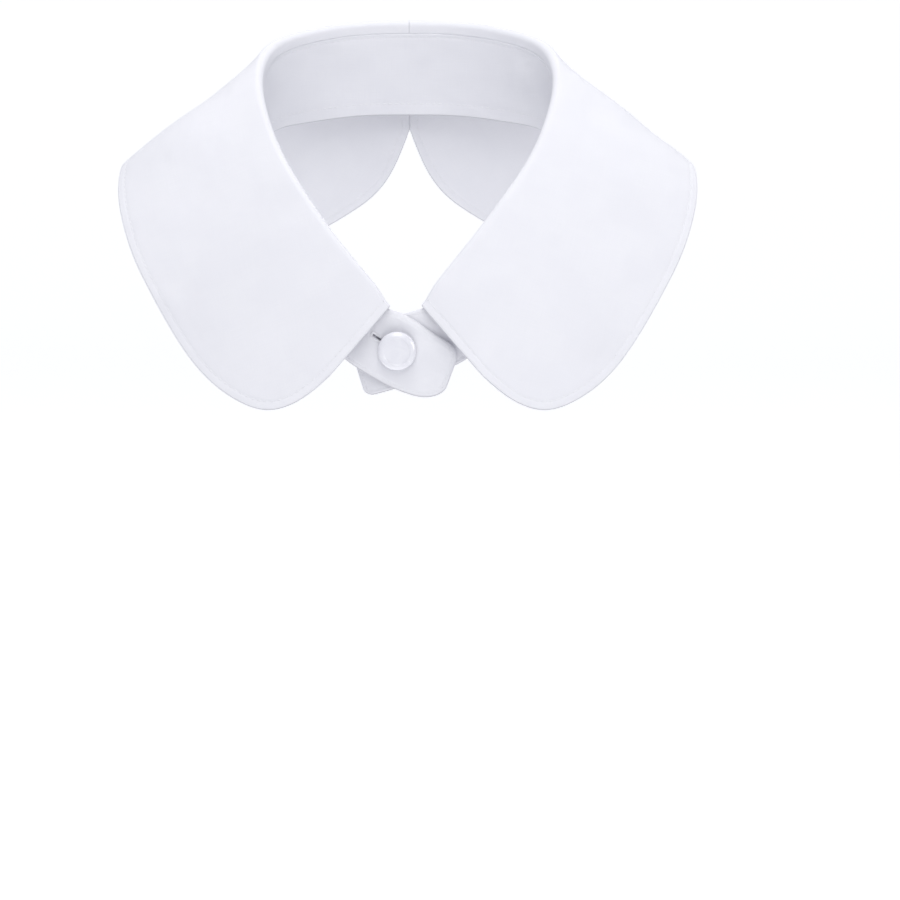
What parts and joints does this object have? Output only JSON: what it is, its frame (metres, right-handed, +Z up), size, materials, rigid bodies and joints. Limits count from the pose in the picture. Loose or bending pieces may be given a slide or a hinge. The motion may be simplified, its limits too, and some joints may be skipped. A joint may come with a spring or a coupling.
{
  "type": "detachable shirt collar",
  "caption": "Detachable rounded shirt collar of two leaves on a narrow stand, buttoned in front and filled out as worn, split between the leaves at the back.",
  "frame": {"origin": "middle of the neck opening, half way between the roll at the back and the tabs in front", "axes": "+X to the wearer's left (the viewer's right from the front), +Y to the back of the neck, +Z up"},
  "size_m": [0.2132, 0.1273, 0.1339],
  "materials": {
    "cotton": "matt fine cotton shirting, white",
    "button": "glossy white with a soft pearl sheen"
  },
  "bodies": {
    "root": {"stand": "cotton", "leaf_left": "cotton", "leaf_right": "cotton", "button": "button"}
  },
  "joints": []
}
